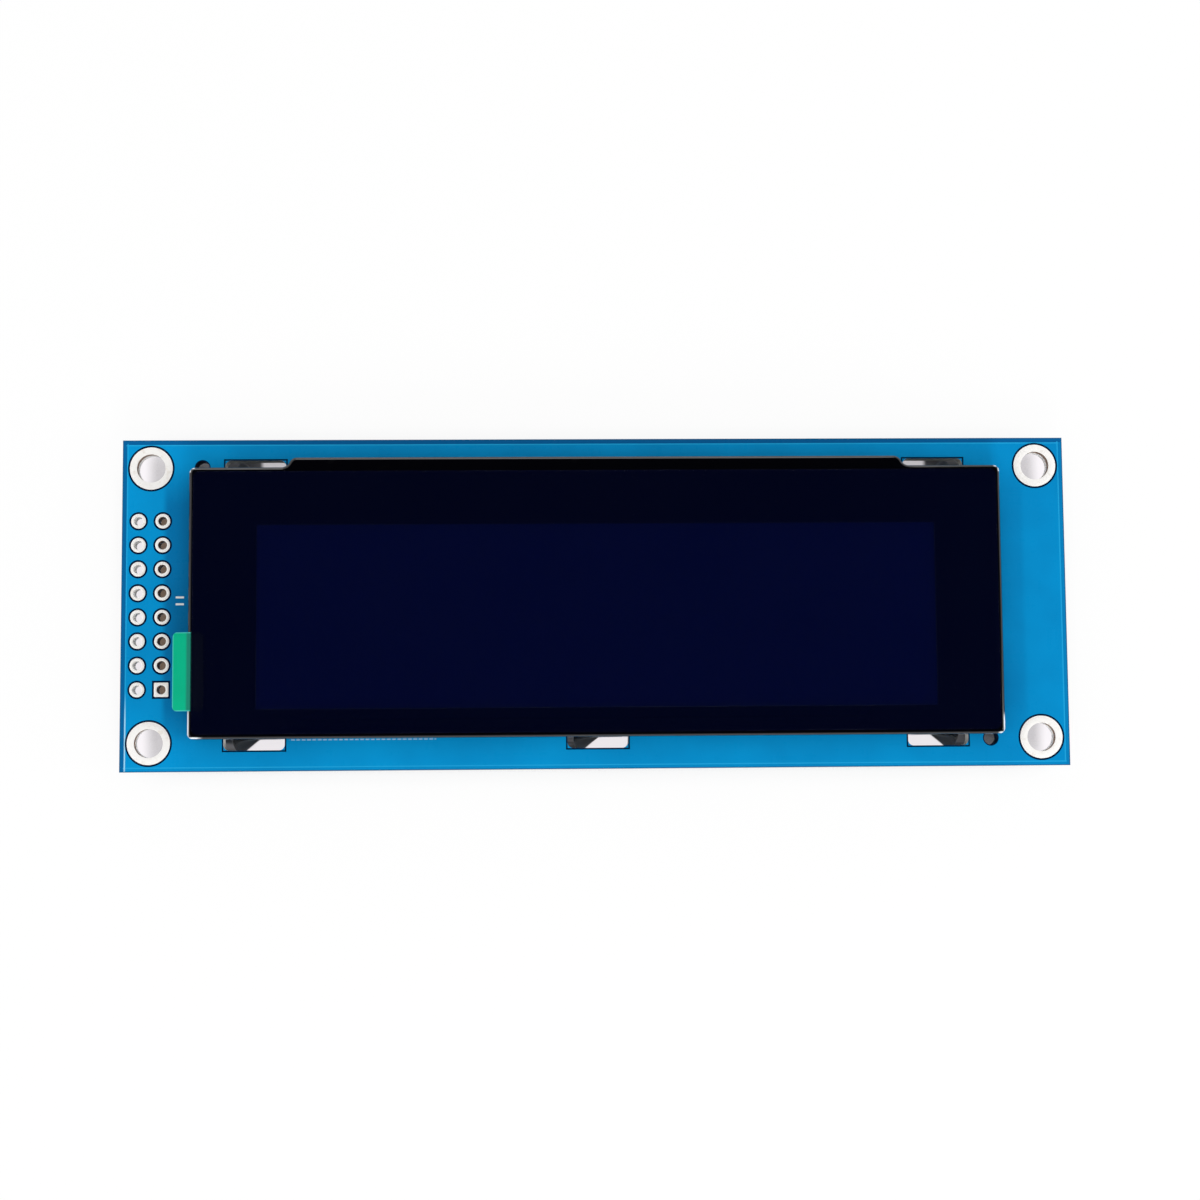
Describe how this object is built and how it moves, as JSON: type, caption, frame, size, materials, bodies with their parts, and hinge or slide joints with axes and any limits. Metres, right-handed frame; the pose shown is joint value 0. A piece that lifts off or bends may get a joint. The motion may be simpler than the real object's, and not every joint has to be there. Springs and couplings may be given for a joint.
{
  "type": "small oled module",
  "caption": "Small passive-matrix OLED display module: a blue circuit board with corner mounting holes and an open header row carries a black-bezelled glass panel.",
  "frame": {"origin": "under the middle of the board, at the level of the bezel's tab ends", "axes": "+X along the module's length, from the header end to the bare end; +Y across it, towards the edge with the bezel's bulge; +Z out of the display's face"},
  "size_m": [0.1, 0.035, 0.0071],
  "materials": {
    "board_mask": "blue solder mask over copper and glass laminate, satin gloss",
    "tinned_copper": "bright tin over copper",
    "bezel_paint": "satin black paint on steel",
    "clear_film": "clear protective film, glossy",
    "green_film": "translucent green film",
    "black_tape": "black adhesive tape",
    "polarizer_film": "dark navy polarizer",
    "panel_glass": "clear thin glass",
    "seal_resin": "cured resin",
    "drying_sheet": "white drying sheet",
    "foam_tape": "dark grey foam",
    "flex_film": "amber polyimide film",
    "silicon": "polished silicon",
    "ferrite": "dark grey ferrite",
    "magnetic_resin": "grey filled resin",
    "package_mould": "black moulded epoxy",
    "lead_tin": "tinned leads",
    "capacitor_mould": "yellow moulded epoxy",
    "capacitor_ceramic": "tan ceramic with tinned ends",
    "resistor_chip": "black glazed chip with tinned ends"
  },
  "bodies": {
    "root": {"board": "board_mask", "mount_plating": "tinned_copper", "header_plating": "tinned_copper", "bezel": "bezel_paint", "bezel_tape": "black_tape", "polarizer": "polarizer_film", "front_glass": "panel_glass", "edge_seal": "seal_resin", "desiccant_sheet": "drying_sheet", "rear_glass": "panel_glass", "panel_tape": "foam_tape", "driver_film": "flex_film", "driver_chip": "silicon", "film_pads": "tinned_copper", "protective_film": "clear_film", "pull_tab": "green_film", "back_pads": "tinned_copper", "inductor_core": "ferrite", "inductor_fill": "magnetic_resin", "converter_body": "package_mould", "converter_leads": "lead_tin", "regulator_body": "package_mould", "regulator_leads": "lead_tin", "diode_body": "package_mould", "diode_leads": "lead_tin", "tantalum_bodies": "capacitor_mould", "tantalum_leads": "lead_tin", "chip_capacitors": "capacitor_ceramic", "chip_resistors": "resistor_chip", "interface_links": "resistor_chip"}
  },
  "joints": []
}
